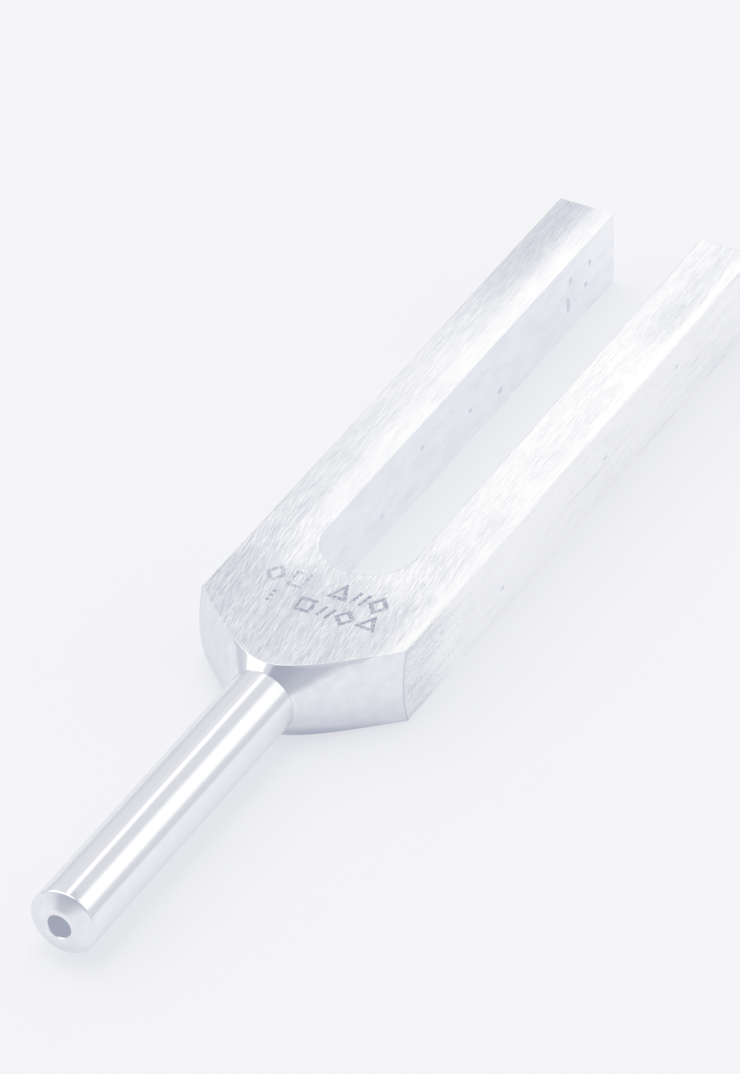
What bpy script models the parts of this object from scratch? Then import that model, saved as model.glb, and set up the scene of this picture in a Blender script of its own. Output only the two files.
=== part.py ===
"""A two-tine aluminium tuning fork, lying flat.

The fork body is milled from flat bar: two tines, the yoke that joins them and a
shoulder turned to a cone. A turned stem with a reduced spigot is pressed into a blind
bore in the cone's small end.

Frame: +X across the tines, +Y along the stem towards the tine tips, +Z up. The origin
is at the middle of the outline, on the face that the fork rests on.
"""

import math

import bmesh
import bpy

# ---------------------------------------------------------------- driving dimensions, metres
BAR_WIDTH = 0.0254
BAR_THICKNESS = 0.009525
SLOT_WIDTH = 0.0113
TINE_LENGTH = 0.0745            # slot root to tine tips
YOKE_LENGTH = 0.0093            # slot root to the corners where the cone begins
CONE_HALF_ANGLE = math.radians(45.0)

STEM_DIAMETER = 0.0079
STEM_LENGTH = 0.0422            # small end of the cone to the rim of the foot
FOOT_CROWN = 0.00075            # how far the foot stands out in front of its rim
FOOT_ROUND = 0.00025            # radius on the rim of the foot
FOOT_HOLE_DIAMETER = 0.0028
FOOT_HOLE_DEPTH = 0.0080
FOOT_HOLE_BREAK = 0.0002        # chamfer on the mouth of the hole
DRILL_HALF_ANGLE = math.radians(59.0)

BORE_DIAMETER = 0.0060
BORE_DEPTH = 0.0110
SPIGOT_CHAMFER = 0.0005
SEAT_GAP = 0.0003               # clearance between the stem and the body, all round

EDGE_BREAK = 0.0003             # chamfer along the bar's long edges and round the tips

# ---------------------------------------------------------------- finish of the mesh
CONE_SEGMENTS = 192
STEM_SEGMENTS = 96
BORE_SEGMENTS = 48
SLOT_ROOT_SEGMENTS = 48
ROUND_STEPS = 4
SMOOTH_ANGLE = math.radians(30.0)
OVERSHOOT = 0.005               # how far a cutter runs past what it cuts

# ---------------------------------------------------------------- derived places
STEM_RADIUS = STEM_DIAMETER / 2
SPIGOT_RADIUS = BORE_DIAMETER / 2 - SEAT_GAP
CORNER_RADIUS = math.hypot(BAR_WIDTH / 2, BAR_THICKNESS / 2)
CONE_LENGTH = (CORNER_RADIUS - STEM_RADIUS) / math.tan(CONE_HALF_ANGLE)
OVERALL_LENGTH = TINE_LENGTH + YOKE_LENGTH + CONE_LENGTH + STEM_LENGTH + FOOT_CROWN

AXIS_Z = BAR_THICKNESS / 2
TIP_Y = OVERALL_LENGTH / 2
SLOT_ROOT_Y = TIP_Y - TINE_LENGTH
SHOULDER_Y = SLOT_ROOT_Y - YOKE_LENGTH
CONE_END_Y = SHOULDER_Y - CONE_LENGTH
BORE_BOTTOM_Y = CONE_END_Y + BORE_DEPTH
FOOT_RIM_Y = CONE_END_Y - STEM_LENGTH
FOOT_Y = FOOT_RIM_Y - FOOT_CROWN


def clear_scene():
    for thing in list(bpy.data.objects):
        bpy.data.objects.remove(thing, do_unlink=True)


def metal(name, colour, roughness):
    """A bare metal: a Principled BSDF with its own colour and roughness."""
    material = bpy.data.materials.new(name)
    material.use_nodes = True
    shader = material.node_tree.nodes["Principled BSDF"]
    shader.inputs["Base Color"].default_value = (*colour, 1.0)
    shader.inputs["Metallic"].default_value = 1.0
    shader.inputs["Roughness"].default_value = roughness
    return material


def add_object(name, bm):
    """Turn a bmesh into a named object, smooth where it is round."""
    bmesh.ops.recalc_face_normals(bm, faces=bm.faces)
    mesh = bpy.data.meshes.new(name)
    bm.to_mesh(mesh)
    bm.free()
    mesh.shade_smooth()
    mesh.set_sharp_from_angle(angle=SMOOTH_ANGLE)
    thing = bpy.data.objects.new(name, mesh)
    bpy.context.scene.collection.objects.link(thing)
    return thing


def turned(name, profile, segments):
    """A solid of revolution about the stem's axis, from (radius, y) points, pole to pole."""
    bm = bmesh.new()
    rings = []
    for radius, y in profile:
        if radius == 0.0:
            rings.append([bm.verts.new((0.0, y, 0.0))])
            continue
        ring = []
        for step in range(segments):
            turn = 2 * math.pi * step / segments
            ring.append(bm.verts.new((radius * math.cos(turn), y, radius * math.sin(turn))))
        rings.append(ring)
    for lower, upper in zip(rings, rings[1:]):
        for step in range(segments):
            after = (step + 1) % segments
            if len(lower) == 1:
                bm.faces.new((lower[0], upper[after], upper[step]))
            elif len(upper) == 1:
                bm.faces.new((lower[step], lower[after], upper[0]))
            else:
                bm.faces.new((lower[step], lower[after], upper[after], upper[step]))
    thing = add_object(name, bm)
    thing.location = (0.0, 0.0, AXIS_Z)
    return thing


def section(half_width, half_thickness, corner):
    """The bar's outline across its length: a rectangle with chamfered corners."""
    points = []
    for side_x, side_z in ((1, 1), (-1, 1), (-1, -1), (1, -1)):
        along_x = (side_x * (half_width - corner), side_z * half_thickness)
        along_z = (side_x * half_width, side_z * (half_thickness - corner))
        points += [along_z, along_x] if side_x == side_z else [along_x, along_z]
    return points


def bar():
    """The flat bar that the body is cut from, its long edges and its tips chamfered."""
    half_width = BAR_WIDTH / 2
    half_thickness = BAR_THICKNESS / 2
    stations = (
        (CONE_END_Y - OVERSHOOT, 0.0),
        (TIP_Y - EDGE_BREAK, 0.0),
        (TIP_Y, EDGE_BREAK),
    )
    bm = bmesh.new()
    rings = []
    for y, inset in stations:
        outline = section(half_width - inset, half_thickness - inset, EDGE_BREAK)
        rings.append([bm.verts.new((x, y, z + AXIS_Z)) for x, z in outline])
    for lower, upper in zip(rings, rings[1:]):
        for step in range(len(lower)):
            after = (step + 1) % len(lower)
            bm.faces.new((lower[step], lower[after], upper[after], upper[step]))
    bm.faces.new(rings[0])
    bm.faces.new(rings[-1])
    return add_object("fork_body", bm)


def slot_cutter():
    """The slot between the tines: parallel sides and a half-round root."""
    radius = SLOT_WIDTH / 2
    centre_y = SLOT_ROOT_Y + radius
    outline = [(radius, TIP_Y + OVERSHOOT), (-radius, TIP_Y + OVERSHOOT)]
    for step in range(SLOT_ROOT_SEGMENTS + 1):
        turn = math.pi + math.pi * step / SLOT_ROOT_SEGMENTS
        outline.append((radius * math.cos(turn), centre_y + radius * math.sin(turn)))
    bm = bmesh.new()
    face = bm.faces.new([bm.verts.new((x, y, -OVERSHOOT)) for x, y in outline])
    grown = bmesh.ops.extrude_face_region(bm, geom=[face])
    moved = [item for item in grown["geom"] if isinstance(item, bmesh.types.BMVert)]
    rise = BAR_THICKNESS + 2 * OVERSHOOT
    bmesh.ops.translate(bm, verts=moved, vec=(0.0, 0.0, rise))
    return add_object("cutter_slot", bm)


def turning_envelope():
    """What the lathe leaves: the cone, opening out past the bar's corners."""
    clear_radius = CORNER_RADIUS + OVERSHOOT
    cone_top_y = CONE_END_Y + (clear_radius - STEM_RADIUS) / math.tan(CONE_HALF_ANGLE)
    profile = (
        (0.0, CONE_END_Y),
        (STEM_RADIUS, CONE_END_Y),
        (clear_radius, cone_top_y),
        (clear_radius, TIP_Y + OVERSHOOT),
        (0.0, TIP_Y + OVERSHOOT),
    )
    return turned("cutter_cone", profile, CONE_SEGMENTS)


def bore_cutter():
    """The blind bore that the spigot sits in, with its drill point."""
    radius = BORE_DIAMETER / 2
    profile = (
        (0.0, CONE_END_Y - OVERSHOOT),
        (radius, CONE_END_Y - OVERSHOOT),
        (radius, BORE_BOTTOM_Y),
        (0.0, BORE_BOTTOM_Y + radius / math.tan(DRILL_HALF_ANGLE)),
    )
    return turned("cutter_bore", profile, BORE_SEGMENTS)


def cut(body, tool, operation):
    """Apply a tool to the body as a Boolean, and keep the tool out of the model."""
    tool.display_type = "WIRE"
    tool.hide_render = True
    step = body.modifiers.new(tool.name, "BOOLEAN")
    step.operation = operation
    step.solver = "EXACT"
    step.object = tool


def foot_profile():
    """The foot, from the stem's side to the bottom of the hole, as (radius, y) points."""
    points = []
    round_y = FOOT_RIM_Y + FOOT_ROUND
    for step in range(ROUND_STEPS + 1):
        turn = 0.5 * math.pi * step / ROUND_STEPS
        radius = STEM_RADIUS - FOOT_ROUND * (1 - math.cos(turn))
        points.append((radius, round_y - FOOT_ROUND * math.sin(turn)))
    hole_radius = FOOT_HOLE_DIAMETER / 2
    hole_bottom_y = FOOT_Y + FOOT_HOLE_DEPTH
    points += [
        (hole_radius + FOOT_HOLE_BREAK, FOOT_Y),
        (hole_radius, FOOT_Y + FOOT_HOLE_BREAK),
        (hole_radius, hole_bottom_y),
        (0.0, hole_bottom_y + hole_radius / math.tan(DRILL_HALF_ANGLE)),
    ]
    return points


def fork_body():
    body = bar()
    cut(body, turning_envelope(), "INTERSECT")
    cut(body, slot_cutter(), "DIFFERENCE")
    cut(body, bore_cutter(), "DIFFERENCE")
    body.data.materials.append(metal("brushed_metal", (0.74, 0.75, 0.78), 0.38))
    return body


def stem():
    """The round stem: spigot, seating shoulder, polished shank and crowned foot."""
    spigot_tip_y = BORE_BOTTOM_Y - SEAT_GAP
    seat_y = CONE_END_Y - SEAT_GAP
    profile = [
        (0.0, spigot_tip_y),
        (SPIGOT_RADIUS - SPIGOT_CHAMFER, spigot_tip_y),
        (SPIGOT_RADIUS, spigot_tip_y - SPIGOT_CHAMFER),
        (SPIGOT_RADIUS, seat_y),
        (STEM_RADIUS, seat_y),
    ]
    rod = turned("stem", profile + foot_profile(), STEM_SEGMENTS)
    rod.data.materials.append(metal("polished_metal", (0.80, 0.81, 0.83), 0.10))
    return rod


clear_scene()
fork_body()
stem()
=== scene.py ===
"""The looks of a two-tine aluminium tuning fork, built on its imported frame.

The fork lies on a pale floor under soft studio light. Both CAD nodes are replaced by finer
pieces: the body with rolled edges, punched marks and pits, and the stem with its foot.
"""

import math
import random

import bmesh
import bpy
from mathutils import Matrix, Vector


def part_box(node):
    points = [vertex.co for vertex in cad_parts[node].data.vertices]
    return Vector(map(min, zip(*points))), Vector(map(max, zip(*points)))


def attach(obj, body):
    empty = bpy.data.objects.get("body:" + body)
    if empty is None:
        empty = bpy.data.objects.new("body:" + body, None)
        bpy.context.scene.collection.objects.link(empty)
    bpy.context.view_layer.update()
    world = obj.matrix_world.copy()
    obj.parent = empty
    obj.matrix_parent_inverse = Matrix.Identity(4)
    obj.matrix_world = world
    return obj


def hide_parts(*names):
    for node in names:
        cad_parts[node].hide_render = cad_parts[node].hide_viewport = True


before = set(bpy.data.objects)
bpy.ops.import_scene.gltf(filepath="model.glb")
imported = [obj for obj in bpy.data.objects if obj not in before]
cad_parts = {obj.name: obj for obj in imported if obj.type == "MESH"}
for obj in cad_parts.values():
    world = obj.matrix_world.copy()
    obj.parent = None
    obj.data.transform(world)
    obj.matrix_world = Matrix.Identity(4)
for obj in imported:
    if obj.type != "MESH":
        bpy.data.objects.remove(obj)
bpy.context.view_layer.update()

# ---------------------------------------------------------------- sizes read from the frame
BODY_LOW, BODY_HIGH = (Vector(corner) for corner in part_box("fork_body"))
STEM_LOW, STEM_HIGH = (Vector(corner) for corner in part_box("stem"))
HALF_WIDTH = (BODY_HIGH.x - BODY_LOW.x) / 2
HALF_THICK = (BODY_HIGH.z - BODY_LOW.z) / 2
AXIS_Z = (BODY_HIGH.z + BODY_LOW.z) / 2
TOP_Z = BODY_HIGH.z
TIP_Y = BODY_HIGH.y
CONE_END_Y = BODY_LOW.y
STEM_RADIUS = (STEM_HIGH.x - STEM_LOW.x) / 2
FOOT_Y = STEM_LOW.y
SPIGOT_TIP_Y = STEM_HIGH.y

# ---------------------------------------------------------------- sizes shared with the CAD model
HALF_SLOT = 0.00565
TINE_LENGTH = 0.0745
SLOT_ROOT_Y = TIP_Y - TINE_LENGTH
BORE_RADIUS = 0.0030
BORE_DEPTH = 0.0110
HOLE_RADIUS = 0.0014
HOLE_DEPTH = 0.0080
DRILL_HALF_ANGLE = math.radians(59.0)


# ================================================================ node helpers
class Tree:
    """Short calls for building a node tree."""

    def __init__(self, node_tree):
        self.nodes = node_tree.nodes
        self.links = node_tree.links

    def add(self, kind, **settings):
        node = self.nodes.new(kind)
        for name, value in settings.items():
            setattr(node, name, value)
        return node

    def feed(self, socket, value):
        if isinstance(value, bpy.types.NodeSocket):
            self.links.new(value, socket)
        else:
            socket.default_value = value

    def math(self, operation, first, second=0.0, clamp=False):
        node = self.add("ShaderNodeMath", operation=operation, use_clamp=clamp)
        self.feed(node.inputs[0], first)
        self.feed(node.inputs[1], second)
        return node.outputs[0]

    def dot(self, first, second):
        node = self.add("ShaderNodeVectorMath", operation="DOT_PRODUCT")
        self.feed(node.inputs[0], first)
        self.feed(node.inputs[1], second)
        return node.outputs["Value"]

    def ramp(self, value, low, high, out_low=0.0, out_high=1.0, smooth=True):
        kind = "SMOOTHSTEP" if smooth else "LINEAR"
        node = self.add("ShaderNodeMapRange", interpolation_type=kind)
        node.clamp = True
        self.feed(node.inputs["Value"], value)
        self.feed(node.inputs["From Min"], low)
        self.feed(node.inputs["From Max"], high)
        self.feed(node.inputs["To Min"], out_low)
        self.feed(node.inputs["To Max"], out_high)
        return node.outputs["Result"]

    def blend(self, factor, first, second):
        """A number between first and second."""
        node = self.add("ShaderNodeMix", data_type="FLOAT")
        self.feed(node.inputs[0], factor)
        self.feed(node.inputs[2], first)
        self.feed(node.inputs[3], second)
        return node.outputs[0]

    def tint(self, factor, first, second):
        """A colour between first and second."""
        node = self.add("ShaderNodeMix", data_type="RGBA")
        self.feed(node.inputs[0], factor)
        self.feed(node.inputs[6], first)
        self.feed(node.inputs[7], second)
        return node.outputs[2]

    def noise(self, coords, cell, detail=2.0, turn=(0.0, 0.0, 0.0), shift=(0.0, 0.0, 0.0)):
        """Noise with lumps of about cell = (x, y, z) metres; shift picks another part of it."""
        turned = self.add("ShaderNodeMapping", vector_type="POINT")
        self.feed(turned.inputs["Vector"], coords)
        turned.inputs["Rotation"].default_value = turn
        scaled = self.add("ShaderNodeMapping", vector_type="POINT")
        self.feed(scaled.inputs["Vector"], turned.outputs[0])
        scaled.inputs["Scale"].default_value = [1.0 / size for size in cell]
        scaled.inputs["Location"].default_value = shift
        node = self.add("ShaderNodeTexNoise")
        node.inputs["Scale"].default_value = 1.0
        node.inputs["Detail"].default_value = detail
        self.feed(node.inputs["Vector"], scaled.outputs[0])
        return node.outputs["Fac"]


def new_material(name):
    """A new material, its tree and its shader."""
    material = bpy.data.materials.new(name)
    material.use_nodes = True
    tree = Tree(material.node_tree)
    shader = material.node_tree.nodes["Principled BSDF"]
    return material, tree, shader


# ================================================================ world, floor and camera
CAMERA_PLACE = Vector((0.3440, -0.6089, 0.5322))
CAMERA_AIM = Vector((-0.0038, 0.0059, 0.0048))
CAMERA_ROLL = math.radians(-1.28)
SENSOR_HEIGHT = 24.0
LENS = 178.5

VEIL = (0.36, 0.385, 0.475)      # the pale haze of a high-key print, as linear light
FLOOR_COLOUR = (0.365, 0.365, 0.368)
FLOOR_SHADE = 0.995              # what the colour is multiplied by in the floor's faint clouds
FLOOR_CLOUD = 0.05               # size of a cloud, in metres
FLOOR_ROUGHNESS = 0.9
FLOOR_HALF = 6.0                 # half the floor's side, in metres
FLOOR_GLOW = 0.480               # light that the pale sheet passes through from underneath
FLOOR_GLOW_COLOUR = (1.0, 1.0, 1.012)


def make_camera():
    data = bpy.data.cameras.new("camera")
    data.sensor_fit = "VERTICAL"
    data.sensor_height = SENSOR_HEIGHT
    data.lens = LENS
    data.clip_start = 0.01
    data.clip_end = 50.0
    camera = bpy.data.objects.new("camera", data)
    bpy.context.scene.collection.objects.link(camera)
    look = (CAMERA_AIM - CAMERA_PLACE).to_track_quat("-Z", "Y").to_matrix().to_4x4()
    roll = Matrix.Rotation(CAMERA_ROLL, 4, "Z")
    camera.matrix_world = Matrix.Translation(CAMERA_PLACE) @ look @ roll
    bpy.context.scene.camera = camera


LEAST_AHEAD = 0.001              # a direction that faces a panel less than this misses it


def panel_mask(tree, direction, centre, half_size, soft, roll=0.0):
    """1 inside a soft-edged rectangle of the sky around centre, half_size as tangents."""
    centre = Vector(centre).normalized()
    side = Vector((0.0, 0.0, 1.0)).cross(centre).normalized()
    up = centre.cross(side)
    side, up = (
        side * math.cos(roll) + up * math.sin(roll),
        up * math.cos(roll) - side * math.sin(roll),
    )
    ahead = tree.dot(direction, centre)
    safe = tree.math("MAXIMUM", ahead, LEAST_AHEAD)
    mask = tree.math("GREATER_THAN", ahead, LEAST_AHEAD)
    for axis, half in ((side, half_size[0]), (up, half_size[1])):
        across = tree.math("DIVIDE", tree.dot(direction, axis), safe)
        inside = tree.ramp(tree.math("ABSOLUTE", across), half + soft, half - soft)
        mask = tree.math("MULTIPLY", mask, inside)
    return mask


# Each panel of light: name, azimuth from +Y toward +X, elevation, half size as tangents, edge
# softness, brightness, and roll about its own centre. Angles are in degrees.
PANELS = (
    ("overhead", -50, 83, (0.34, 0.34), 0.14, 3.30, 0),
    ("key", -72, 43, (0.30, 0.24), 0.10, 2.40, 0),
    ("right fill", 92, 34, (0.90, 0.60), 0.15, 0.60, 0),
    ("strip", -18, 45, (0.085, 0.24), 0.03, 1.28, 0),
    ("low strip", -24, 30, (0.11, 0.10), 0.03, 1.45, 0),
    ("back box", 39, 33, (0.27, 0.32), 0.07, 1.22, 55),
    ("front left", -129, 34.7, (0.39, 0.30), 0.04, 1.42, 40),
)
# The rest of the sky. A height is the upward part of a direction of length 1.
WALL_LIGHT = 0.64
HORIZON_LIGHT = 0.50
HORIZON_EDGE = (0.08, 0.30)      # heights over which the horizon turns into the wall
CEILING_LIGHT = 0.15
CEILING_EDGE = (0.76, 0.84)      # heights over which the wall turns into the ceiling
BACKDROP_LIGHT = 0.845           # what the camera itself sees behind the floor
SKY_BLUE = 1.005

# The unlit room behind the camera: how far round it reaches, its lower edge, which rises to the
# right, the slanted plane that bounds it on the left, and the heights where it ends at the top.
ROOM_LIGHT = 0.06
ROOM_SIDE = (0.45, 0.58)
ROOM_LOW = 0.042
ROOM_LOW_SLOPE = 0.058
ROOM_LOW_SOFT = 0.01
ROOM_EDGE = (0.758, -0.522, -0.391)
ROOM_EDGE_SOFT = 0.03
ROOM_TOP = (0.82, 0.76)


def aim(azimuth, elevation):
    """The direction toward an azimuth and an elevation in degrees."""
    azimuth, elevation = math.radians(azimuth), math.radians(elevation)
    level = math.cos(elevation)
    return Vector((level * math.sin(azimuth), level * math.cos(azimuth), math.sin(elevation)))


def room_mask(tree, direction, height):
    """1 toward the unlit room, from just above the horizon up to ROOM_TOP."""
    right = tree.dot(direction, (1.0, 0.0, 0.0))
    near = tree.ramp(tree.dot(direction, (0.0, -1.0, 0.0)), *ROOM_SIDE)
    low = tree.math("ADD", ROOM_LOW, tree.math("MULTIPLY", right, ROOM_LOW_SLOPE))
    above = tree.math("SUBTRACT", height, low)
    mask = tree.math("MULTIPLY", near, tree.ramp(above, -ROOM_LOW_SOFT, ROOM_LOW_SOFT))
    edge = tree.ramp(tree.dot(direction, ROOM_EDGE), -ROOM_EDGE_SOFT, ROOM_EDGE_SOFT)
    mask = tree.math("MULTIPLY", mask, edge)
    return tree.math("MULTIPLY", mask, tree.ramp(height, *ROOM_TOP))


def make_world():
    """The studio: a pale sky with the unlit room and the panels of light in it."""
    world = bpy.data.worlds.new("studio")
    bpy.context.scene.world = world
    world.use_nodes = True
    tree = Tree(world.node_tree)
    direction = tree.add("ShaderNodeTexCoord").outputs["Generated"]
    height = tree.dot(direction, (0.0, 0.0, 1.0))
    light = tree.blend(tree.ramp(height, *HORIZON_EDGE), HORIZON_LIGHT, WALL_LIGHT)
    light = tree.blend(tree.ramp(height, *CEILING_EDGE), light, CEILING_LIGHT)
    light = tree.blend(room_mask(tree, direction, height), light, ROOM_LIGHT)
    for _, azimuth, elevation, half_size, soft, brightness, roll in PANELS:
        centre = aim(azimuth, elevation)
        mask = panel_mask(tree, direction, centre, half_size, soft, math.radians(roll))
        light = tree.blend(mask, light, brightness)
    seen = tree.add("ShaderNodeLightPath").outputs["Is Camera Ray"]
    light = tree.blend(seen, light, BACKDROP_LIGHT)
    background = world.node_tree.nodes["Background"]
    tint = tree.add("ShaderNodeCombineColor")
    tree.feed(tint.inputs[0], light)
    tree.feed(tint.inputs[1], light)
    tree.feed(tint.inputs[2], tree.math("MULTIPLY", light, SKY_BLUE))
    tree.links.new(tint.outputs[0], background.inputs["Color"])


def set_print_look():
    """Plain display colours, with the blacks lifted by a pale bluish haze."""
    scene = bpy.context.scene
    scene.view_settings.view_transform = "Standard"
    scene.view_settings.look = "None"
    scene.view_settings.use_curve_mapping = True
    curves = scene.view_settings.curve_mapping
    for channel, floor in enumerate(VEIL):
        curve = curves.curves[channel]
        curve.points[0].location = (0.0, floor)
        curve.points[-1].location = (1.0, 1.0)
        for point in curve.points:
            point.handle_type = "VECTOR"
    curves.update()


def make_floor():
    bm = bmesh.new()
    bmesh.ops.create_grid(bm, x_segments=1, y_segments=1, size=FLOOR_HALF)
    mesh = bpy.data.meshes.new("floor")
    bm.to_mesh(mesh)
    bm.free()
    floor = bpy.data.objects.new("floor", mesh)
    bpy.context.scene.collection.objects.link(floor)
    material, tree, shader = new_material("pale_floor")
    coords = tree.add("ShaderNodeTexCoord").outputs["Object"]
    clouds = tree.noise(coords, (FLOOR_CLOUD, FLOOR_CLOUD, FLOOR_CLOUD))
    darker = [part * FLOOR_SHADE for part in FLOOR_COLOUR]
    shade = tree.tint(clouds, (*FLOOR_COLOUR, 1.0), (*darker, 1.0))
    tree.links.new(shade, shader.inputs["Base Color"])
    shader.inputs["Emission Color"].default_value = (*FLOOR_GLOW_COLOUR, 1.0)
    shader.inputs["Emission Strength"].default_value = FLOOR_GLOW
    shader.inputs["Roughness"].default_value = FLOOR_ROUGHNESS
    shader.inputs["Specular IOR Level"].default_value = 0.0
    mesh.materials.append(material)


# ================================================================ metals
# Painted reflections: patches where the sanded metal's colour is made lighter or darker to stand in
# for the light and dark it reflects. A name, x range, y range and edge softness in metres, and how
# much lighter or darker the metal is there.
PAINTED_REFLECTION_PATCHES = (
    ("dark yoke reflection", (-0.0300, 0.0104), (-0.0300, -0.0070), (0.0012, 0.0045), -0.265),
    ("left shoulder", (-0.0300, -0.0060), (-0.0300, -0.0090), (0.0050, 0.0040), -0.06),
    ("left outer side", (-0.0300, -0.0088), (-0.0100, 0.0900), (0.0016, 0.0100), -0.12),
    ("left root", (-0.0300, -0.0078), (-0.0100, 0.0180), (0.0014, 0.0090), -0.07),
    ("right root", (0.0078, 0.0113), (-0.0080, 0.0130), (0.0012, 0.0060), -0.05),
    ("left tip", (-0.0300, -0.0086), (0.0460, 0.0900), (0.0020, 0.0110), -0.33),
    ("left tip end", (-0.0092, -0.0070), (0.0600, 0.0900), (0.0010, 0.0060), -0.12),
    ("right tip", (0.0080, 0.0114), (0.0480, 0.0900), (0.0012, 0.0080), -0.17),
    ("right yoke", (0.0065, 0.0112), (-0.0300, -0.0050), (0.0010, 0.0040), 0.06),
)
FINISH_LEVEL = 0.98
# The long edges that are rolled over by sanding: where the roll starts and ends, in x.
ROLLED_BANDS = ((0.0113, 0.0127), (-0.0084, -0.00565))
ROLL_DROP = 0.00004
ROLL_MARGIN = 0.0002

# Noise cells of the sanded faces: the size of a streak in x, y and z, in metres.
FINE_STREAK = (0.00008, 0.0024, 0.00008)
COARSE_STREAK = (0.00015, 0.0050, 0.00015)
CROSS_STREAK = (0.00012, 0.0011, 0.00012)
SCRATCH = (0.00012, 0.0090, 0.00012)
GOUGE = (0.00012, 0.0050, 0.00012)
CLOUD = (0.0026, 0.0060, 0.0026)
COARSE_SHARE = 0.30
COARSE_TURN = 0.6                # coarse streaks turn less than the fine ones

# Which way the streaks run on the yoke and on the tines, from the bar's length.
YOKE_STREAKS = math.radians(-11)
TINE_STREAKS = math.radians(-4)
CROSS_TURN = math.radians(28)
SCRATCH_TURN = math.radians(-6)
GOUGE_TURN = math.radians(-2)
TINE_START = (-0.0030, 0.0100)   # y over which the yoke's streaks give way to the tines'
TIP_START = (0.0400, 0.0620)     # y over which they get stronger toward the tips

# How strongly the streaks show in the metal's tone, on the yoke, the tines and their tips.
YOKE_DEPTH = 0.39
TINE_DEPTH = 0.19
TIP_DEPTH = 0.26
SMOOTH_DEPTH = 0.22              # share of it that is left where the edges are worn smooth

# Ramps on a noise value: from, to, the result at from and the result at to.
GRAIN_TONE = (0.40, 0.60, -0.65, 0.35)
CROSS_TONE = (0.34, 0.50, -0.30, 0.0)
CLOUD_TONE = (0.35, 0.65, 0.93, 1.03)
GOUGE_TONE = (0.26, 0.34, 0.84, 1.0)
SCRATCH_TONE = (0.66, 0.74, 0.0, 0.14)
SANDED_ROUGHNESS = (0.30, 0.70, 0.24, 0.36)
SANDED_DARK = (0.03, 0.04, 0.08, 1.0)
SANDED_PALE = (0.985, 0.985, 0.99, 1.0)
SANDED_ANISOTROPY = 0.4
STREAK_RELIEF = 0.000014
STREAK_RELIEF_STRENGTH = 0.6

# Bands along the sanded edges that are worn smooth: x from, to and edge softness.
INNER_BAND = (-0.0082, -0.0050, 0.0005)
OUTER_BAND = (0.0113, 0.0125, 0.0003)
INNER_BAND_START = (-0.0020, 0.0060)     # y over which the inner band begins

# The bar's two sides: noise cells, and ramps on the noise and then on y.
SIDE_EDGE = (0.0003, 0.0001)     # how far in from the bar's width its sides begin
SIDE_SCRATCH = (0.0100, 0.0100, 0.00016)
SIDE_BROAD = (0.0100, 0.0160, 0.0011)
SIDE_SCRATCH_TONE = (0.30, 0.52, -0.14, 0.10)
SIDE_BROAD_TONE = (0.38, 0.60, -0.04, 0.08)
# painted shade at the shoulder, turning to painted light on the sides beyond it
SIDE_PAINTED_SHADE_AND_LIGHT = (-0.0130, -0.0040, -0.21, 0.11)
SIDE_TINE_TONE = (0.0080, 0.0300, 0.0, -0.07)

# The thin dark burr on the slot's edge: its width, and the x over which it fades out.
BURR_EDGE = (0.00016, 0.00008)
BURR_SIDE = (-0.0040, -0.0010)
BURR_TONE = 0.22


def soft_range(tree, value, low, high, soft):
    """1 between low and high, with soft edges."""
    rise = tree.ramp(value, low - soft, low + soft)
    fall = tree.ramp(value, high + soft, high - soft)
    return tree.math("MULTIPLY", rise, fall)


def tone_with_painted_reflections(tree, x, y):
    """How light the sanded metal is, with its patches of painted reflection, lighter and darker."""
    tone = FINISH_LEVEL
    for _, x_range, y_range, soft, amount in PAINTED_REFLECTION_PATCHES:
        across = soft_range(tree, x, *x_range, soft[0])
        along = soft_range(tree, y, *y_range, soft[1])
        mask = tree.math("MULTIPLY", across, along)
        tone = tree.math("ADD", tone, tree.math("MULTIPLY", mask, amount))
    return tone


def rolled_height(tree, x):
    """How far the sanded faces drop toward their rolled edges."""
    height = 0.0
    for start, stop in ROLLED_BANDS:
        into = tree.ramp(x, start, stop, smooth=False)
        inside = tree.math("LESS_THAN", x, stop + ROLL_MARGIN)
        drop = tree.math("MULTIPLY", tree.math("POWER", into, 2.0), -ROLL_DROP)
        height = tree.math("ADD", height, tree.math("MULTIPLY", drop, inside))
    return height


def add_bump(tree, height, distance, strength, before=None):
    """A bump of this height times distance, on top of the one before."""
    bump = tree.add("ShaderNodeBump")
    bump.inputs["Strength"].default_value = strength
    bump.inputs["Distance"].default_value = distance
    tree.links.new(height, bump.inputs["Height"])
    if before is not None:
        tree.links.new(before, bump.inputs["Normal"])
    return bump.outputs[0]


def streak_layer(tree, coords, turn):
    """Streaks that run along the bar, turned by this angle."""
    fine = tree.noise(coords, FINE_STREAK, 1.5, (0, 0, turn))
    coarse = tree.noise(coords, COARSE_STREAK, 1.5, (0, 0, turn * COARSE_TURN), (2, 7, 4))
    return tree.blend(COARSE_SHARE, fine, coarse)


def smooth_bands(tree, x, y):
    """1 along the edges that are worn smooth. The inner band ends at the yoke."""
    inner = soft_range(tree, x, *INNER_BAND)
    outer = soft_range(tree, x, *OUTER_BAND)
    inner = tree.math("MULTIPLY", inner, tree.ramp(y, *INNER_BAND_START))
    return tree.math("MAXIMUM", inner, outer)


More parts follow.
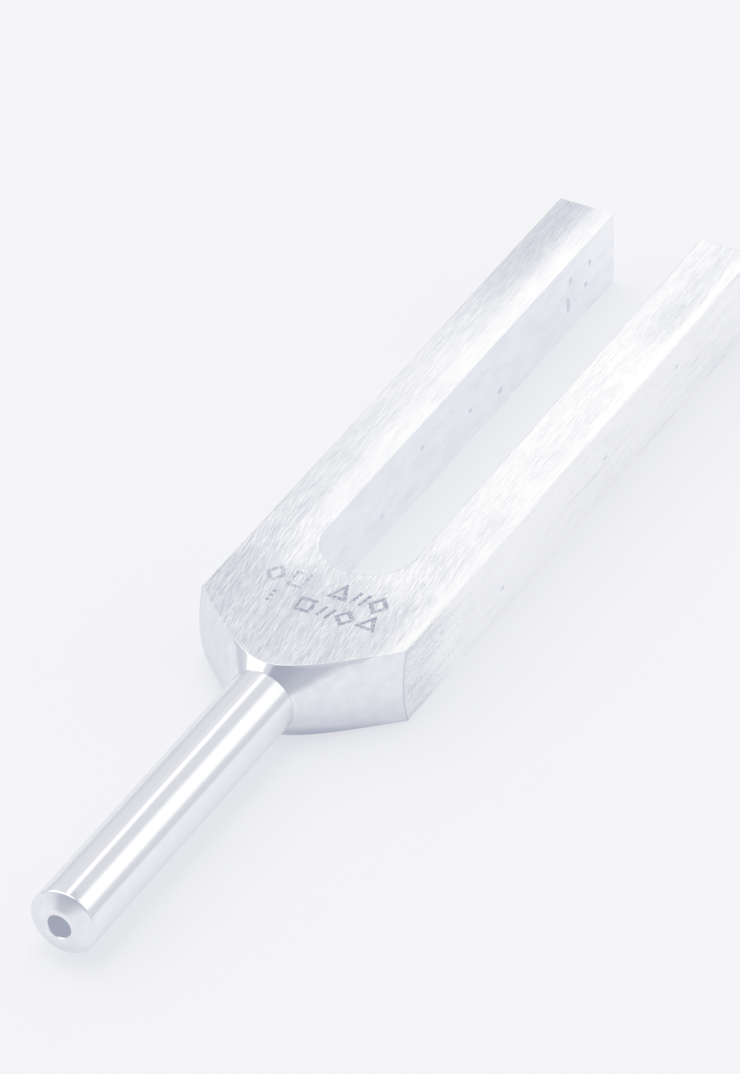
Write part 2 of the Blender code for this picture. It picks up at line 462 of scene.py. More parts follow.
def side_tone_and_painted_light(tree, coords, x, y):
    """The bar's two sides: long thin scratches, painted shade at the shoulder and painted light
    beyond it. A tone to add.
    """
    side = tree.ramp(tree.math("ABSOLUTE", x), *(HALF_WIDTH - off for off in SIDE_EDGE))
    long = tree.noise(coords, SIDE_SCRATCH, 1.0, (0, 0, 0), (4, 2, 8))
    broad = tree.noise(coords, SIDE_BROAD, 1.5, (0, 0, 0), (1, 6, 3))
    tone = tree.ramp(long, *SIDE_SCRATCH_TONE)
    tone = tree.math("ADD", tone, tree.ramp(broad, *SIDE_BROAD_TONE))
    # Painted shade at the shoulder and painted light on the sides beyond it.
    tone = tree.math("ADD", tone, tree.ramp(y, *SIDE_PAINTED_SHADE_AND_LIGHT))
    tone = tree.math("ADD", tone, tree.ramp(y, *SIDE_TINE_TONE))
    return tree.math("MULTIPLY", side, tone)


def slot_edge(tree, x, y):
    """1 in the thin burr along the slot's right edge and round its root."""
    centre_y = SLOT_ROOT_Y + HALF_SLOT
    below = tree.math("MINIMUM", tree.math("SUBTRACT", y, centre_y), 0.0)
    squares = tree.math("ADD", tree.math("MULTIPLY", x, x), tree.math("MULTIPLY", below, below))
    off = tree.math("SUBTRACT", tree.math("SQRT", squares), HALF_SLOT)
    near = tree.ramp(off, *BURR_EDGE)
    return tree.math("MULTIPLY", near, tree.ramp(x, *BURR_SIDE))


def streak_tone(tree, coords, streaks, tine, calm, y):
    """How much lighter or darker the sanding streaks make the metal."""
    cross = tree.noise(coords, CROSS_STREAK, 1.0, (0, 0, CROSS_TURN), (8, 3, 5))
    grain = tree.ramp(streaks, *GRAIN_TONE, False)
    hatch = tree.ramp(cross, *CROSS_TONE, False)
    tip = tree.ramp(y, *TIP_START)
    depth = tree.blend(tine, YOKE_DEPTH, tree.blend(tip, TINE_DEPTH, TIP_DEPTH))
    depth = tree.math("MULTIPLY", depth, calm)
    return tree.math("MULTIPLY", tree.math("ADD", grain, hatch), depth)


def sanded_metal():
    """The bar's outer faces, sanded by hand: streaks, longer scratches and patches of painted
    reflection.
    """
    material, tree, shader = new_material("sanded_flats")
    coords = tree.add("ShaderNodeTexCoord").outputs["Object"]
    split = tree.add("ShaderNodeSeparateXYZ")
    tree.links.new(coords, split.inputs[0])
    x, y = split.outputs[0], split.outputs[1]
    steep = streak_layer(tree, coords, YOKE_STREAKS)
    shallow = streak_layer(tree, coords, TINE_STREAKS)
    tine = tree.ramp(y, *TINE_START)
    streaks = tree.blend(tine, steep, shallow)
    calm = tree.ramp(smooth_bands(tree, x, y), 0.0, 1.0, 1.0, SMOOTH_DEPTH, False)
    clouds = tree.noise(coords, CLOUD, 3.0, (0, 0, 0), (3.1, 0.7, 1.9))
    scratch = tree.noise(coords, SCRATCH, 0.0, (0, 0, SCRATCH_TURN))
    gouge = tree.noise(coords, GOUGE, 0.0, (0, 0, GOUGE_TURN), (5, 1, 2))
    # The tone's lighter and darker patches are painted reflections.
    tone = tone_with_painted_reflections(tree, x, y)
    tone = tree.math("ADD", tone, streak_tone(tree, coords, streaks, tine, calm, y))
    tone = tree.math("MULTIPLY", tone, tree.ramp(clouds, *CLOUD_TONE))
    tone = tree.math("MULTIPLY", tone, tree.ramp(gouge, *GOUGE_TONE))
    tone = tree.math("ADD", tone, side_tone_and_painted_light(tree, coords, x, y))
    burr = tree.math("MULTIPLY", slot_edge(tree, x, y), BURR_TONE)
    tone = tree.math("SUBTRACT", tone, burr)
    tone = tree.math("ADD", tone, tree.ramp(scratch, *SCRATCH_TONE))
    tone = tree.math("MINIMUM", tone, 1.0)
    tree.links.new(tree.tint(tone, SANDED_DARK, SANDED_PALE), shader.inputs["Base Color"])
    tree.links.new(tree.ramp(streaks, *SANDED_ROUGHNESS), shader.inputs["Roughness"])
    shader.inputs["Metallic"].default_value = 1.0
    shader.inputs["Anisotropic"].default_value = SANDED_ANISOTROPY
    rolled = add_bump(tree, rolled_height(tree, x), 1.0, 1.0)
    relief = tree.math("MULTIPLY", streaks, calm)
    relief = add_bump(tree, relief, STREAK_RELIEF, STREAK_RELIEF_STRENGTH, rolled)
    tree.links.new(relief, shader.inputs["Normal"])
    return material


# The milled walls. A cell is the size of the noise's lumps, in metres.
WALL_MOTTLE = (0.0020, 0.0050, 0.0020)
WALL_SPECK = (0.00040, 0.0008, 0.00040)
WALL_SPECK_SHARE = 0.14
WALL_DARK = (0.79, 0.805, 0.855, 1.0)
WALL_PALE = (0.90, 0.915, 0.965, 1.0)
WALL_TONE = (0.34, 0.60)
WALL_ROUGHNESS = (0.30, 0.70, 0.24, 0.34)
WALL_RELIEF = 0.000004
WALL_RELIEF_STRENGTH = 0.1


def milled_metal():
    """The walls of the slot and the ends of the tines: smooth and mottled."""
    material, tree, shader = new_material("milled_slot_walls")
    coords = tree.add("ShaderNodeTexCoord").outputs["Object"]
    mottle = tree.noise(coords, WALL_MOTTLE, 3.0)
    specks = tree.noise(coords, WALL_SPECK, 1.0)
    grain = tree.blend(WALL_SPECK_SHARE, mottle, specks)
    shade = tree.tint(tree.ramp(grain, *WALL_TONE), WALL_DARK, WALL_PALE)
    tree.links.new(shade, shader.inputs["Base Color"])
    tree.links.new(tree.ramp(mottle, *WALL_ROUGHNESS), shader.inputs["Roughness"])
    shader.inputs["Metallic"].default_value = 1.0
    relief = add_bump(tree, mottle, WALL_RELIEF, WALL_RELIEF_STRENGTH)
    tree.links.new(relief, shader.inputs["Normal"])
    return material


# Painted shade low on the cone, for the dark floor under it that the cone reflects: its edge is as
# high as the first number below at the stem's axis and falls outward. Over the first range of
# heights above that edge most of it clears, and the rest over the second.
LOW_SHADE_TOP = 0.00220
LOW_SHADE_FALL = 0.22
LOW_SHADE_DARK = (-0.0010, 0.0012, 0.0, 0.78)
LOW_SHADE_HAZE = (0.0010, 0.0050, 0.0, 0.22)
LOW_SHADE_COLOUR = (0.03, 0.035, 0.06, 1.0)
CORNER_SHADE_LINE = (0.00022, 0.00008)     # how far from the bar's sides the cone's edge gets a painted dark line of shade
CORNER_SHADE_KEEP = 0.6                   # and how much of the metal's colour is kept in that painted shade

# Turned surfaces: colours, roughness, and the turning lines' width and depth in metres.
TURNED_FINISHES = {
    "turned_cone": {
        "dark": (0.67, 0.68, 0.72), "light": (0.82, 0.83, 0.87),
        "roughness": 0.13, "anisotropic": 0.3, "ring": 0.0002, "depth": 0.0000006,
    },
    "polished_shank": {
        "dark": (0.815, 0.82, 0.835), "light": (0.85, 0.855, 0.87),
        "roughness": 0.15, "anisotropic": 0.5, "ring": 0.0006, "depth": 0.000001,
    },
    "faced_foot": {
        "dark": (0.70, 0.72, 0.75), "light": (0.86, 0.87, 0.89),
        "roughness": 0.20, "anisotropic": 0.8, "ring": 0.0002, "depth": 0.000003,
    },
}
TURNED_CLOUD = (0.0014, 0.0014, 0.0014)
TURNED_TONE = (0.25, 0.75)
TURNED_GLOSS = (0.30, 0.70)
TURNED_TINT = (0.88, 0.88, 0.89, 1.0)
RING_STRENGTH = 0.5
GLOSS_SPREAD = 0.06                  # how far the roughness varies, as a share of itself
QUARTER_TURN = 0.25


def cone_unshaded(tree, x, z):
    """0 inside the painted shade, low on the cone and as a dark line along its edges by the bar's
    sides, and 1 elsewhere.
    """
    out = tree.math("ABSOLUTE", x)
    over = tree.math("SUBTRACT", tree.math("MULTIPLY", out, LOW_SHADE_FALL), LOW_SHADE_TOP)
    over = tree.math("ADD", over, z)
    unshaded = tree.ramp(over, *LOW_SHADE_DARK)
    unshaded = tree.math("ADD", unshaded, tree.ramp(over, *LOW_SHADE_HAZE))
    corner = tree.ramp(out, *(HALF_WIDTH - off for off in CORNER_SHADE_LINE))
    corner = tree.ramp(corner, 0.0, 1.0, 1.0, CORNER_SHADE_KEEP, False)
    return tree.math("MULTIPLY", unshaded, corner)


def turned_metal(name, residue_and_shade=False):
    """A surface that was turned about the stem's axis, with fine rings."""
    finish = TURNED_FINISHES[name]
    material, tree, shader = new_material(name)
    coords = tree.add("ShaderNodeTexCoord").outputs["Object"]
    split = tree.add("ShaderNodeSeparateXYZ")
    tree.links.new(coords, split.inputs[0])
    above = tree.math("SUBTRACT", split.outputs[2], AXIS_Z)
    flat = tree.add("ShaderNodeCombineXYZ")
    tree.links.new(split.outputs[0], flat.inputs[0])
    tree.links.new(above, flat.inputs[2])
    length = tree.add("ShaderNodeVectorMath", operation="LENGTH")
    tree.links.new(flat.outputs[0], length.inputs[0])
    station = tree.math("ADD", length.outputs["Value"], split.outputs[1])
    rings = tree.add("ShaderNodeTexNoise", noise_dimensions="1D")
    rings.inputs["Detail"].default_value = 1.0
    tree.links.new(tree.math("DIVIDE", station, finish["ring"]), rings.inputs["W"])
    mottle = tree.noise(coords, TURNED_CLOUD, 2.5)
    tone = tree.ramp(mottle, *TURNED_TONE, smooth=False)
    shade = tree.tint(tone, (*finish["dark"], 1.0), (*finish["light"], 1.0))
    # The cone's colour is darkened into painted shade low down and along its edges by the bar's
    # sides.
    if residue_and_shade:
        unshaded = cone_unshaded(tree, split.outputs[0], split.outputs[2])
        shade = tree.tint(unshaded, LOW_SHADE_COLOUR, shade)
    tree.links.new(shade, shader.inputs["Base Color"])
    dull = finish["roughness"] * (1 + GLOSS_SPREAD)
    gloss = finish["roughness"] * (1 - GLOSS_SPREAD)
    spread = tree.ramp(mottle, *TURNED_GLOSS, dull, gloss)
    tree.links.new(spread, shader.inputs["Roughness"])
    shader.inputs["Metallic"].default_value = 1.0
    shader.inputs["Specular Tint"].default_value = TURNED_TINT
    shader.inputs["Anisotropic"].default_value = finish["anisotropic"]
    shader.inputs["Anisotropic Rotation"].default_value = QUARTER_TURN
    tangent = tree.add("ShaderNodeTangent", direction_type="RADIAL", axis="Y")
    tree.links.new(tangent.outputs[0], shader.inputs["Tangent"])
    relief = add_bump(tree, rings.outputs["Fac"], finish["depth"], RING_STRENGTH)
    tree.links.new(relief, shader.inputs["Normal"])
    return material


# Residue in the marks and the pits: how light it is where it lies heavy, and where it is rubbed away
# in spots.
# The hole gets painted shade from the same two numbers, its darkest and its lighter spots.
RESIDUE_AND_HOLE_SHADES = {
    "worn": (0.22, 0.66), "deep": (0.05, 0.55), "pits": (0.52, 0.70), "hole": (0.015, 0.03),
}
SPOT_CELL = (0.0003, 0.0003, 0.0003)
SPOT_TONE = (0.42, 0.66)
DARK_TINT = (1.0, 1.05, 1.2)
PALE_TINT = (1.0, 1.02, 1.06)
GRIME_AND_HOLE_SHADE_METALLIC = 0.8
GRIME_AND_HOLE_SHADE_ROUGHNESS = {"pits": 0.4, "hole": 0.9}

# The punched marks' bare metal begins at this share of their depth and is full at the second.
RIM_RANGE = (0.75, 0.10)
RIM_COLOUR = (0.88, 0.885, 0.90, 1.0)
RIM_ROUGHNESS = 0.35


def residue_and_hole_shade_colour(tree, coords, place):
    """The bluish colour at one place of the shade table: a deposit in the marks and pits, painted
    shade in the hole.
    """
    thick, thin = RESIDUE_AND_HOLE_SHADES[place]
    spots = tree.noise(coords, SPOT_CELL, 2.0)
    dark = (*(thick * part for part in DARK_TINT), 1.0)
    pale = (*(thin * part for part in PALE_TINT), 1.0)
    return tree.tint(tree.ramp(spots, *SPOT_TONE), dark, pale)


def grime_and_hole_shade(name, place):
    """The dull deposit that lines the pits, and the painted shade that fills the hole."""
    material, tree, shader = new_material(name)
    coords = tree.add("ShaderNodeTexCoord").outputs["Object"]
    tree.links.new(residue_and_hole_shade_colour(tree, coords, place), shader.inputs["Base Color"])
    shader.inputs["Metallic"].default_value = GRIME_AND_HOLE_SHADE_METALLIC
    shader.inputs["Roughness"].default_value = GRIME_AND_HOLE_SHADE_ROUGHNESS[place]
    return material


def punched_metal(name, wear):
    """A punched mark: a dark deposit on its floor and bare metal toward its rim."""
    material, tree, shader = new_material(name)
    coords = tree.add("ShaderNodeTexCoord").outputs["Object"]
    split = tree.add("ShaderNodeSeparateXYZ")
    tree.links.new(coords, split.inputs[0])
    depth = MARK_DEPTH[wear]
    rim = tree.ramp(split.outputs[2], *(TOP_Z - depth * share for share in RIM_RANGE))
    floor = residue_and_hole_shade_colour(tree, coords, wear)
    tree.links.new(tree.tint(rim, floor, RIM_COLOUR), shader.inputs["Base Color"])
    shader.inputs["Metallic"].default_value = 1.0
    shader.inputs["Roughness"].default_value = RIM_ROUGHNESS
    return material


# ================================================================ meshes
def finish_mesh(name, bm, materials):
    """Turn a bmesh into a named object with these materials."""
    bmesh.ops.recalc_face_normals(bm, faces=bm.faces)
    mesh = bpy.data.meshes.new(name)
    bm.to_mesh(mesh)
    bm.free()
    for material in materials:
        mesh.materials.append(material)
    piece = bpy.data.objects.new(name, mesh)
    bpy.context.scene.collection.objects.link(piece)
    return piece


def bake_modifiers(piece):
    """Replace the piece's mesh by what its modifiers make."""
    depsgraph = bpy.context.evaluated_depsgraph_get()
    made = bpy.data.meshes.new_from_object(piece.evaluated_get(depsgraph))
    piece.modifiers.clear()
    piece.data = made


# Face materials of the body, in slot order.
FLATS, WALLS, CONE = range(3)

# Bevel widths in metres: how rolled or crisp each kind of edge is.
ROLLED = 0.00038
TIP_EDGE = 0.00026
CONE_EDGE = 0.00005
SLOT_EDGE = 0.00007

BEVEL_SEGMENTS = 4
BODY_SHARP = math.radians(40)    # edges that turn by more than this stay sharp

ARC_SHORT = 40                   # steps round the cone on each of the bar's sides
ARC_LONG = 96                    # and on each of its broad faces
SLOT_STEPS = 64
CONE_STATIONS = (0.0, 0.1, 0.25, 0.45, 0.62, 0.8, 1.0)    # rings from the stem out to the bar
BORE_POINT = 0.0002              # how far the bore's drilled end runs to a point
TINY = 1e-9


def cone_outline():
    """(cos, sin, reach) for each step round the cone, out to the bar's rectangle."""
    corner = math.atan2(HALF_THICK, HALF_WIDTH)
    arcs = (
        (-corner, corner, ARC_SHORT),
        (corner, math.pi - corner, ARC_LONG),
        (math.pi - corner, math.pi + corner, ARC_SHORT),
        (math.pi + corner, 2 * math.pi - corner, ARC_LONG),
    )
    points = []
    for start, stop, steps in arcs:
        for step in range(steps):
            turn = start + (stop - start) * step / steps
            cos, sin = math.cos(turn), math.sin(turn)
            to_side = HALF_WIDTH / max(abs(cos), TINY)
            to_face = HALF_THICK / max(abs(sin), TINY)
            points.append((cos, sin, min(to_side, to_face)))
    return points


def add_face(bm, verts, kind):
    """A face of the body with one of its materials."""
    bm.faces.new(verts).material_index = kind


def mark_bevel(bm, verts, width):
    """Note on the edges along these corners how wide their bevel is."""
    weight = bm.edges.layers.float["bevel_weight_edge"]
    for first, second in zip(verts, verts[1:]):
        bm.edges.get((first, second))[weight] = width / ROLLED


def cone_ring(bm, outline, radii, ys):
    """One corner on each ray of the cone's outline, at these radii and ys."""
    made = []
    for (cos, sin, _), radius, y in zip(outline, radii, ys):
        made.append(bm.verts.new((radius * cos, y, AXIS_Z + radius * sin)))
    return made


def add_cone(bm):
    """The bore and the cone, ring by ring. Returns the rim, where the cone meets the bar."""
    outline = cone_outline()
    count = len(outline)
    bore_bottom = bm.verts.new((0.0, CONE_END_Y + BORE_DEPTH + BORE_POINT, AXIS_Z))
    rings = []
    for y in (CONE_END_Y + BORE_DEPTH, CONE_END_Y):
        rings.append(cone_ring(bm, outline, [BORE_RADIUS] * count, [y] * count))
    for part in CONE_STATIONS:
        radii = [STEM_RADIUS + part * (reach - STEM_RADIUS) for _, _, reach in outline]
        ys = [CONE_END_Y + radius - STEM_RADIUS for radius in radii]
        rings.append(cone_ring(bm, outline, radii, ys))
    for step in range(count):
        after = (step + 1) % count
        add_face(bm, (bore_bottom, rings[0][after], rings[0][step]), CONE)
        for inner, outer in zip(rings, rings[1:]):
            add_face(bm, (inner[step], inner[after], outer[after], outer[step]), CONE)
    return rings[-1]


def slot_line(bm, z):
    """The slot's edge at one height, from the right tip round the root to the left tip."""
    points = [(HALF_SLOT, TIP_Y)]
    for step in range(SLOT_STEPS + 1):
        turn = math.pi * step / SLOT_STEPS
        x = HALF_SLOT * math.cos(turn)
        points.append((x, SLOT_ROOT_Y + HALF_SLOT - HALF_SLOT * math.sin(turn)))
    points.append((-HALF_SLOT, TIP_Y))
    return [bm.verts.new((x, y, z)) for x, y in points]


def tip_corners(bm, x):
    """The upper and lower corner of a tine's tip at this x."""
    return bm.verts.new((x, TIP_Y, TOP_Z)), bm.verts.new((x, TIP_Y, AXIS_Z - HALF_THICK))


def body_mesh():
    """The fork body with sharp edges, each marked with how far to bevel it."""
    bm = bmesh.new()
    bm.edges.layers.float.new("bevel_weight_edge")
    rim = add_cone(bm)
    right = rim[: ARC_SHORT + 1]
    top = rim[ARC_SHORT : ARC_SHORT + ARC_LONG + 1]
    left = rim[ARC_SHORT + ARC_LONG : 2 * ARC_SHORT + ARC_LONG + 1]
    under = rim[2 * ARC_SHORT + ARC_LONG :] + [rim[0]]
    slot_top = slot_line(bm, TOP_Z)
    slot_low = slot_line(bm, AXIS_Z - HALF_THICK)
    right_top, right_low = tip_corners(bm, HALF_WIDTH)
    left_top, left_low = tip_corners(bm, -HALF_WIDTH)

    add_face(bm, top + [left_top] + slot_top[::-1] + [right_top], FLATS)
    add_face(bm, under + [right_low] + slot_low + [left_low], FLATS)
    add_face(bm, right + [right_top, right_low], FLATS)
    add_face(bm, left + [left_low, left_top], FLATS)
    for step in range(len(slot_top) - 1):
        wall = (slot_top[step], slot_top[step + 1], slot_low[step + 1], slot_low[step])
        add_face(bm, wall, WALLS)
    add_face(bm, (right_top, slot_top[0], slot_low[0], right_low), WALLS)
    add_face(bm, (left_top, left_low, slot_low[-1], slot_top[-1]), WALLS)

    mark_bevel(bm, rim + [rim[0]], CONE_EDGE)
    mark_bevel(bm, slot_top, SLOT_EDGE)
    mark_bevel(bm, slot_low, SLOT_EDGE)
    for shoulder, end in (
        (top[0], right_top), (top[-1], left_top), (right[0], right_low), (left[-1], left_low)
    ):
        mark_bevel(bm, (shoulder, end), ROLLED)
    for high, low, inner_high, inner_low in (
        (right_top, right_low, slot_top[0], slot_low[0]),
        (left_top, left_low, slot_top[-1], slot_low[-1]),
    ):
        mark_bevel(bm, (high, low), ROLLED)
        mark_bevel(bm, (inner_high, inner_low), TIP_EDGE)
        mark_bevel(bm, (high, inner_high), TIP_EDGE)
        mark_bevel(bm, (low, inner_low), TIP_EDGE)
    return bm


# The punched marks on the yoke: each row's centre line in y and height, then each mark's x and
# shape. The worn ones are almost rubbed away.
MARK_WIDTH = 0.0019
WORN_ROW = ((-0.0066, "diamond"), (-0.0038, "square"))
UPPER_ROW = ((0.0014, "triangle"), (0.0038, "ticks"), (0.0061, "diamond"))
LOWER_ROW = (
    (-0.0052, "dots"), (-0.0010, "square"), (0.0016, "ticks"), (0.0039, "diamond"),
    (0.0067, "triangle"),
)
MARK_ROWS = {
    "worn": ((-0.0100, 0.0027, WORN_ROW),),
    "deep": ((-0.0101, 0.0026, UPPER_ROW), (-0.0136, 0.0023, LOWER_ROW)),
}
MARK_DEPTH = {"worn": 0.00008, "deep": 0.00016}
# Each polygon's number of sides, the direction of its first corner in degrees, and its scale.
POLYGONS = {"diamond": (4, 90.0, 1.0), "square": (4, 45.0, 1.2), "triangle": (3, 90.0, 1.12)}
STROKE = 0.00050                 # width of a stroke at the face, and at the bottom of the groove
STROKE_FLOOR = 0.00030
TICK_OFFSET = 0.28               # as a share of a mark's width
TICK_HALF = 0.42                 # half a tick's length, as a share of a mark's height
TICK_LEAN = 0.18
DOT_PLACES = (-0.36, 0.0, 0.36)  # as shares of a mark's height
DOT_HALF = 0.00026               # half a dot's side, in metres
CUT_LIFT = 0.00004               # how far a cutter stands out of the face
MARK_SEED = 11
MARK_SHIFT = 0.00015             # how far a mark strays from its row, and turns, in degrees
MARK_TURN = 6.0


def placed(centre, turn, point):
    """A point of a mark's own plane, turned and moved onto the yoke."""
    cos, sin = math.cos(turn), math.sin(turn)
    return centre[0] + point[0] * cos - point[1] * sin, centre[1] + point[0] * sin + point[1] * cos


def loop_cutter(bm, loops):
    """Closed tube through four loops of points, joined in order and back to the first."""
    rows = [[bm.verts.new(point) for point in loop] for loop in loops]
    count = len(rows[0])
    for row, after in zip(rows, rows[1:] + rows[:1]):
        for step in range(count):
            turn = (step + 1) % count
            bm.faces.new((row[step], row[turn], after[turn], after[step]))


def polygon_mark(bm, centre, turn, size, shape, depth):
    """A groove along a polygon's outline."""
    sides, start, scale = POLYGONS[shape]
    half = min(size) / 2

    def loop(offset, z):
        points = []
        for side in range(sides):
            angle = math.radians(start) + 2 * math.pi * side / sides
            grow = scale * (1 + offset / (half * math.cos(math.pi / sides) * scale))
            flat = (size[0] / 2 * grow * math.cos(angle), size[1] / 2 * grow * math.sin(angle))
            points.append((*placed(centre, turn, flat), z))
        return points

    top, floor = TOP_Z + CUT_LIFT, TOP_Z - depth
    loop_cutter(bm, (
        loop(STROKE / 2, top), loop(-STROKE / 2, top),
        loop(-STROKE_FLOOR / 2, floor), loop(STROKE_FLOOR / 2, floor),
    ))


def block_cutter(bm, centre, turn, middle, half, depth, lean=0.0):
    """A tapered punch: half is its half size at the face, and lean how far it leans over."""
    taper = (STROKE - STROKE_FLOOR) / 2
    rows = []
    for z, inset in ((TOP_Z + CUT_LIFT, 0.0), (TOP_Z - depth, taper)):
        row = []
        for side_x, side_y in ((-1, -1), (1, -1), (1, 1), (-1, 1)):
            flat = (
                middle[0] + side_x * (half[0] - inset) + lean * side_y * half[1],
                middle[1] + side_y * (half[1] - inset),
            )
            row.append(bm.verts.new((*placed(centre, turn, flat), z)))
        rows.append(row)
    bm.faces.new(rows[0])
    bm.faces.new(rows[1][::-1])
    for step in range(4):
        after = (step + 1) % 4
        bm.faces.new((rows[0][step], rows[1][step], rows[1][after], rows[0][after]))


def mark_cutter(wear):
    """What is cut away for all the marks of one kind of wear."""
    draw = random.Random(MARK_SEED)
    depth = MARK_DEPTH[wear]
    bm = bmesh.new()
    for row_y, height, marks in MARK_ROWS[wear]:
        for x, shape in marks:
            centre = (x, row_y + draw.uniform(-MARK_SHIFT, MARK_SHIFT))
            turn = math.radians(draw.uniform(-MARK_TURN, MARK_TURN))
            size = (MARK_WIDTH, height)
            if shape in POLYGONS:
                polygon_mark(bm, centre, turn, size, shape, depth)
            elif shape == "ticks":
                for side in (-1, 1):
                    middle = (side * TICK_OFFSET * size[0], 0.0)
                    half = (STROKE / 2, TICK_HALF * size[1])
                    block_cutter(bm, centre, turn, middle, half, depth, TICK_LEAN)
            else:
                for place in DOT_PLACES:
                    middle = (0.0, place * size[1])
                    block_cutter(bm, centre, turn, middle, (DOT_HALF, DOT_HALF), depth)
    return bm


# Small pits on the slot's left wall and the bar's right side: a centre and half sizes in x, y and
# z, in metres.
PITS = (
    ((-0.00565, 0.0566, 0.0038), (0.00010, 0.00045, 0.00110)),
    ((-0.00565, 0.0572, 0.0068), (0.00008, 0.00040, 0.00050)),
    ((-0.00565, 0.0610, 0.0040), (0.00008, 0.00035, 0.00040)),
    ((-0.00565, 0.0620, 0.0064), (0.00007, 0.00030, 0.00045)),
    ((-0.00565, 0.0400, 0.0024), (0.00009, 0.00055, 0.00040)),
    ((-0.00565, 0.0328, 0.0042), (0.00007, 0.00040, 0.00030)),
    ((-0.00565, 0.0215, 0.0062), (0.00006, 0.00030, 0.00030)),
    ((-0.00565, 0.0120, 0.0030), (0.00006, 0.00035, 0.00025)),
    ((0.01270, 0.0305, 0.0052), (0.00006, 0.00045, 0.00022)),
    ((0.01270, 0.0060, 0.0034), (0.00006, 0.00040, 0.00030)),
    ((0.01270, -0.0080, 0.0068), (0.00006, 0.00035, 0.00028)),
    ((0.01270, 0.0480, 0.0066), (0.00006, 0.00050, 0.00020)),
)
PIT_ROUGHNESS = 0.25             # how far a pit's surface strays, as a share of its size


def pit_cutter():
    """What is cut away for the pits."""
    draw = random.Random(MARK_SEED)
    bm = bmesh.new()
    for centre, half in PITS:
        made = bmesh.ops.create_icosphere(bm, subdivisions=2, radius=1.0)["verts"]
        for vert in made:
            grow = 1.0 + draw.uniform(-PIT_ROUGHNESS, PIT_ROUGHNESS)
            vert.co = Vector(centre) + Vector(c * h * grow for c, h in zip(vert.co, half))
    return bm


def carve(piece, name, bm, material):
    """Cut a mesh out of the piece and leave this material on the cut faces."""
    cutter = finish_mesh(name, bm, [material])
    cut = piece.modifiers.new(name, "BOOLEAN")
    cut.operation = "DIFFERENCE"
    cut.object = cutter
    cut.material_mode = "TRANSFER"
    bake_modifiers(piece)
    bpy.data.objects.remove(cutter)


def make_body(metals, residue_and_shade):
    """The fork body: bevelled edges, then the marks and the pits cut into it."""
    piece = finish_mesh("fork_body_finish", body_mesh(), metals)
    bevel = piece.modifiers.new("edges", "BEVEL")
    bevel.limit_method = "WEIGHT"
    bevel.offset_type = "OFFSET"
    bevel.width = ROLLED
    bevel.segments = BEVEL_SEGMENTS
    bake_modifiers(piece)
    for wear in MARK_ROWS:
        carve(piece, wear + "_marks", mark_cutter(wear), residue_and_shade[wear])
    carve(piece, "pits", pit_cutter(), residue_and_shade["pits"])
    piece.data.shade_smooth()
    piece.data.set_sharp_from_angle(angle=BODY_SHARP)
    normals = piece.modifiers.new("normals", "WEIGHTED_NORMAL")
    normals.keep_sharp = True
    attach(piece, "root")
    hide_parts("fork_body")


def turned_mesh(profile, segments, kinds):
    """A solid of revolution about the stem's axis; kinds gives each band's material."""
    bm = bmesh.new()
    rings = []
    for radius, y in profile:
        if radius == 0.0:
            rings.append([bm.verts.new((0.0, y, AXIS_Z))])
            continue
        ring = []
        for step in range(segments):
            turn = 2 * math.pi * step / segments
            ring.append(bm.verts.new((radius * math.cos(turn), y, AXIS_Z + radius * math.sin(turn))))
        rings.append(ring)
    for lower, upper, kind in zip(rings, rings[1:], kinds):
        for step in range(segments):
            after = (step + 1) % segments
            if len(lower) == 1:
                made = bm.faces.new((lower[0], upper[after], upper[step]))
            elif len(upper) == 1:
                made = bm.faces.new((lower[step], lower[after], upper[0]))
            else:
                made = bm.faces.new((lower[step], lower[after], upper[after], upper[step]))
            made.material_index = kind
    return bm


# Band materials of the stem, in slot order.
SHANK, FOOT, HOLE = range(3)

STEM_SEGMENTS = 192
STEM_SHARP = math.radians(35)
SPIGOT_RADIUS = 0.0027
SEAT_GAP = 0.00001               # between the shank's end and the cone
SEAT_BREAK = 0.00008             # chamfer on the shank's end
SHANK_STATIONS = 24
RIM_ROUND = 0.00025
RIM_STEPS = 6
FOOT_SLOPE = math.radians(24.0)
FOOT_LAND = 0.00175              # radius of the flat land round the hole
FOOT_BLEND = 0.0009              # radius that blends the slope into the land
BLEND_STEPS = 5
HOLE_BREAK = 0.00010             # chamfer on the mouth of the hole


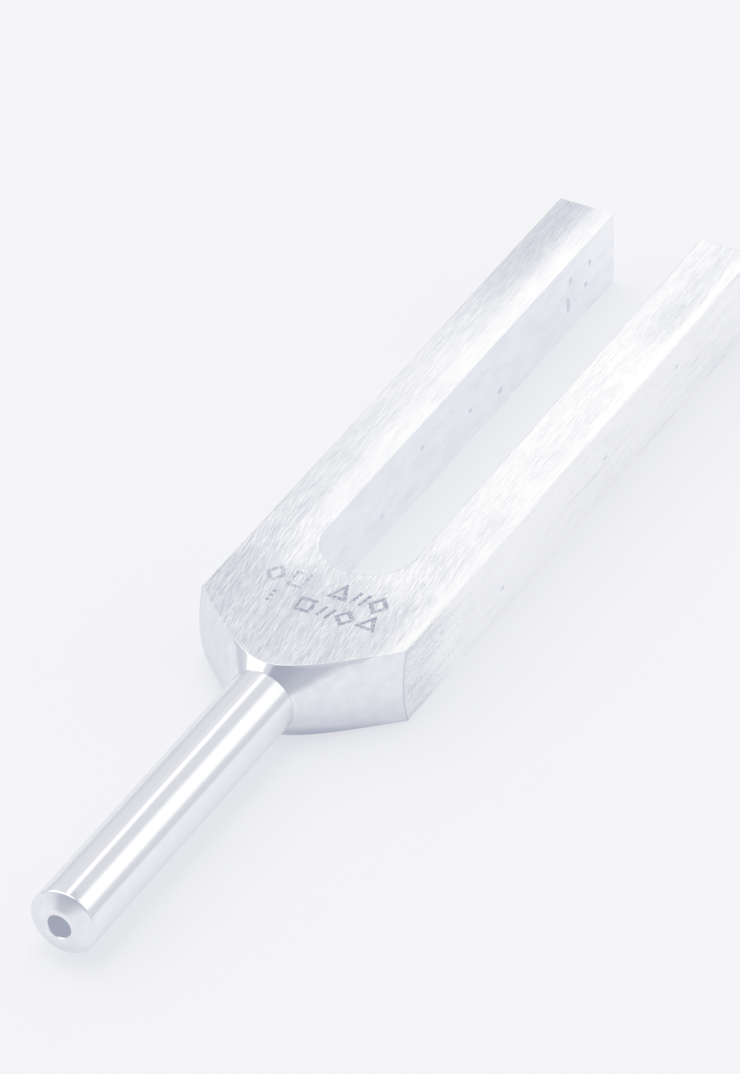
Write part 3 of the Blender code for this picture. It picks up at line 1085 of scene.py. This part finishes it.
def foot_profile():
    """Radius and y from the shank's end to the hole: rim, sloping face, flat land."""
    blend_radius = FOOT_LAND + FOOT_BLEND * math.sin(FOOT_SLOPE)
    blend_y = FOOT_Y + FOOT_BLEND * (1 - math.cos(FOOT_SLOPE))
    centre = STEM_RADIUS - RIM_ROUND
    rim_radius = centre + RIM_ROUND * math.sin(FOOT_SLOPE)
    rim_y = blend_y + (rim_radius - blend_radius) * math.tan(FOOT_SLOPE)
    centre_y = rim_y + RIM_ROUND * math.cos(FOOT_SLOPE)
    points = []
    for step in range(RIM_STEPS + 1):
        turn = 0.5 * math.pi + (FOOT_SLOPE - 0.5 * math.pi) * step / RIM_STEPS
        points.append((centre + RIM_ROUND * math.sin(turn), centre_y - RIM_ROUND * math.cos(turn)))
    for step in range(BLEND_STEPS + 1):
        turn = FOOT_SLOPE * (1 - step / BLEND_STEPS)
        radius = FOOT_LAND + FOOT_BLEND * math.sin(turn)
        points.append((radius, FOOT_Y + FOOT_BLEND * (1 - math.cos(turn))))
    return points + [(HOLE_RADIUS + HOLE_BREAK, FOOT_Y), (HOLE_RADIUS, FOOT_Y + HOLE_BREAK)]


def make_stem(metals):
    """The stem: spigot, shank, foot and the hole in it, as one turned profile."""
    seat_y = CONE_END_Y - SEAT_GAP
    profile = [
        (0.0, SPIGOT_TIP_Y),
        (SPIGOT_RADIUS, SPIGOT_TIP_Y),
        (SPIGOT_RADIUS, seat_y),
        (STEM_RADIUS - SEAT_BREAK, seat_y),
        (STEM_RADIUS, seat_y - SEAT_BREAK),
    ]
    foot = foot_profile()
    shank_end = foot[0][1]
    shank_start = seat_y - SEAT_BREAK
    for step in range(1, SHANK_STATIONS):
        y = shank_start + (shank_end - shank_start) * step / SHANK_STATIONS
        profile.append((STEM_RADIUS, y))
    kinds = [SHANK] * len(profile)
    profile += foot
    kinds += [FOOT] * (len(foot) - 1)
    profile += [
        (HOLE_RADIUS, FOOT_Y + HOLE_DEPTH),
        (0.0, FOOT_Y + HOLE_DEPTH + HOLE_RADIUS / math.tan(DRILL_HALF_ANGLE)),
    ]
    kinds += [HOLE, HOLE]
    piece = finish_mesh("stem_finish", turned_mesh(profile, STEM_SEGMENTS, kinds), metals)
    piece.data.shade_smooth()
    piece.data.set_sharp_from_angle(angle=STEM_SHARP)
    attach(piece, "root")
    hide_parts("stem")


make_camera()
make_world()
make_floor()
set_print_look()
make_body(
    [sanded_metal(), milled_metal(), turned_metal("turned_cone", residue_and_shade=True)],
    {
        "worn": punched_metal("worn_marks_metal", "worn"),
        "deep": punched_metal("deep_marks_metal", "deep"),
        "pits": grime_and_hole_shade("pit_grime", "pits"),
    },
)
make_stem([
    turned_metal("polished_shank"),
    turned_metal("faced_foot"),
    # The hole's near-black lining is painted shade.
    grime_and_hole_shade("hole_painted_shade", "hole"),
])
